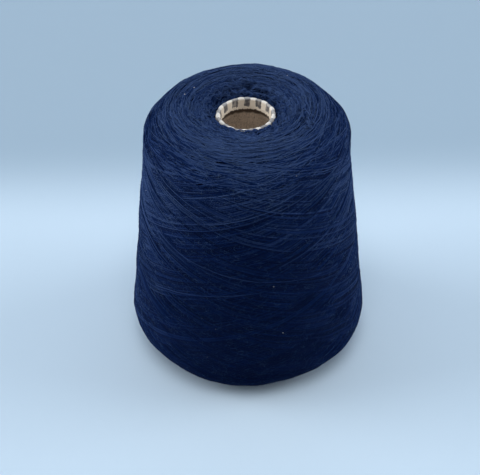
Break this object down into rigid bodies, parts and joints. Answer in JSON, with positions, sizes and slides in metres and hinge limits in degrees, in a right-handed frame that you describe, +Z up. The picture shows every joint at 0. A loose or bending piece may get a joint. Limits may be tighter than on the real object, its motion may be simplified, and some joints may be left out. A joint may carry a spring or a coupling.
{
  "type": "cone of yarn",
  "caption": "Cross-wound cone of fine yarn on a tapered paper cone, with a domed upper end, rounded edges and an open hollow centre.",
  "frame": {"origin": "on the resting plane at the axis of the paper cone", "axes": "+Z up along the cone's axis, towards its nose; the yarn and the paper are turned about it"},
  "size_m": [0.1488, 0.1488, 0.176],
  "materials": {
    "kraft_board": "matte",
    "printed_paper": "matte",
    "yarn": "matte"
  },
  "bodies": {
    "root": {"kraft_inner_ply": "kraft_board", "kraft_middle_ply": "kraft_board", "kraft_outer_ply": "kraft_board", "printed_cover_paper": "printed_paper", "yarn_reserve_turns": "yarn", "yarn_inner_winding": "yarn", "yarn_middle_winding": "yarn", "yarn_outer_winding": "yarn"}
  },
  "joints": []
}
